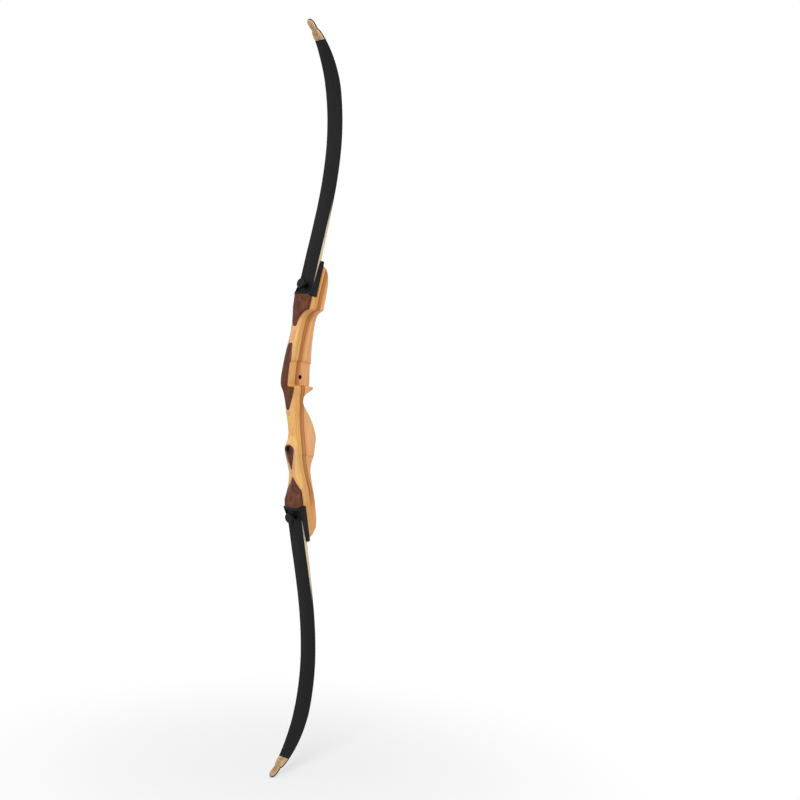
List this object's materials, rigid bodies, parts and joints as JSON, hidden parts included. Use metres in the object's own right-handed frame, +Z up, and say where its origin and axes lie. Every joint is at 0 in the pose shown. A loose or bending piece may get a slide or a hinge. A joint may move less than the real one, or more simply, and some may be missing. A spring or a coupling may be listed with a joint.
{
  "type": "take-down recurve bow",
  "caption": "Unstrung right-handed take-down recurve bow: laminated wooden riser with sight window, bolt-on limbs with black faces and wooden string-nock tips.",
  "frame": {"origin": "the grip's pivot point, the deepest point of the throat, on the bow's centre plane", "axes": "+Z up the bow to the upper limb tip, +Y to the archer (belly side), -Y to the target (back side), +X to the side the sight window is cut on"},
  "size_m": [0.0497, 0.1098, 1.6524],
  "materials": {
    "walnut": "satin lacquer",
    "thin_beech": "satin lacquer",
    "maple": "satin lacquer",
    "beech": "satin lacquer",
    "brown_wood": "satin lacquer",
    "limb_core_wood": "satin lacquer",
    "tip_wood": "satin lacquer",
    "limb_glass": "satin black fibreglass",
    "pocket": "fine matt charcoal",
    "knob": "gloss black",
    "steel": "plain steel",
    "brass": "plain brass",
    "dark_steel": "blackened steel"
  },
  "bodies": {
    "riser": {"riser_walnut_back": "walnut", "riser_thin_beech": "thin_beech", "riser_maple": "maple", "riser_beech_core": "beech", "riser_brown": "brown_wood", "riser_belly_beech": "beech", "plunger_bushing": "dark_steel", "stabilizer_bushing": "dark_steel", "sight_bushings": "brass", "upper_limb_pocket": "pocket", "lower_limb_pocket": "pocket", "upper_pocket_screws": "steel", "lower_pocket_screws": "steel", "upper_locating_pin": "steel", "lower_locating_pin": "steel", "upper_bolt_insert": "brass", "lower_bolt_insert": "brass"},
    "upper_limb": {"upper_limb_core": "limb_core_wood", "upper_limb_wedge": "limb_core_wood", "upper_back_glass": "limb_glass", "upper_belly_glass": "limb_glass", "upper_tip_overlay": "tip_wood"},
    "upper_bolt_washer": {"upper_washer": "steel"},
    "upper_bolt": {"upper_limb_bolt": "steel", "upper_bolt_knob": "knob"},
    "lower_limb": {"lower_limb_core": "limb_core_wood", "lower_limb_wedge": "limb_core_wood", "lower_back_glass": "limb_glass", "lower_belly_glass": "limb_glass", "lower_tip_overlay": "tip_wood"},
    "lower_bolt_washer": {"lower_washer": "steel"},
    "lower_bolt": {"lower_limb_bolt": "steel", "lower_bolt_knob": "knob"}
  },
  "joints": [
    {"name": "upper_limb_release", "type": "slide", "parent": "riser", "child": "upper_limb", "axis": [0, -0.9724, 0.2334], "range_m": [0, 0.03]},
    {"name": "upper_bolt_travel", "type": "slide", "parent": "upper_limb", "child": "upper_bolt_washer", "axis": [0, -0.9724, 0.2334], "range_m": [0, 0.0225]},
    {"name": "upper_knob_turn", "type": "hinge", "parent": "upper_bolt_washer", "child": "upper_bolt", "pos_m": [0, 0.00796, 0.25152], "axis": [0, -0.9724, 0.2334], "range_deg": [0, 6480]},
    {"name": "lower_limb_release", "type": "slide", "parent": "riser", "child": "lower_limb", "axis": [0, -0.9724, -0.2334], "range_m": [0, 0.03]},
    {"name": "lower_bolt_travel", "type": "slide", "parent": "lower_limb", "child": "lower_bolt_washer", "axis": [0, -0.9724, -0.2334], "range_m": [0, 0.0225]},
    {"name": "lower_knob_turn", "type": "hinge", "parent": "lower_bolt_washer", "child": "lower_bolt", "pos_m": [0, 0.00796, -0.25152], "axis": [0, -0.9724, -0.2334], "range_deg": [0, 6480]}
  ],
  "couplings": [
    {"joint": "upper_knob_turn", "follows": "upper_bolt_travel", "rad_per_m": 5026.5},
    {"joint": "lower_knob_turn", "follows": "lower_bolt_travel", "rad_per_m": 5026.5}
  ]
}
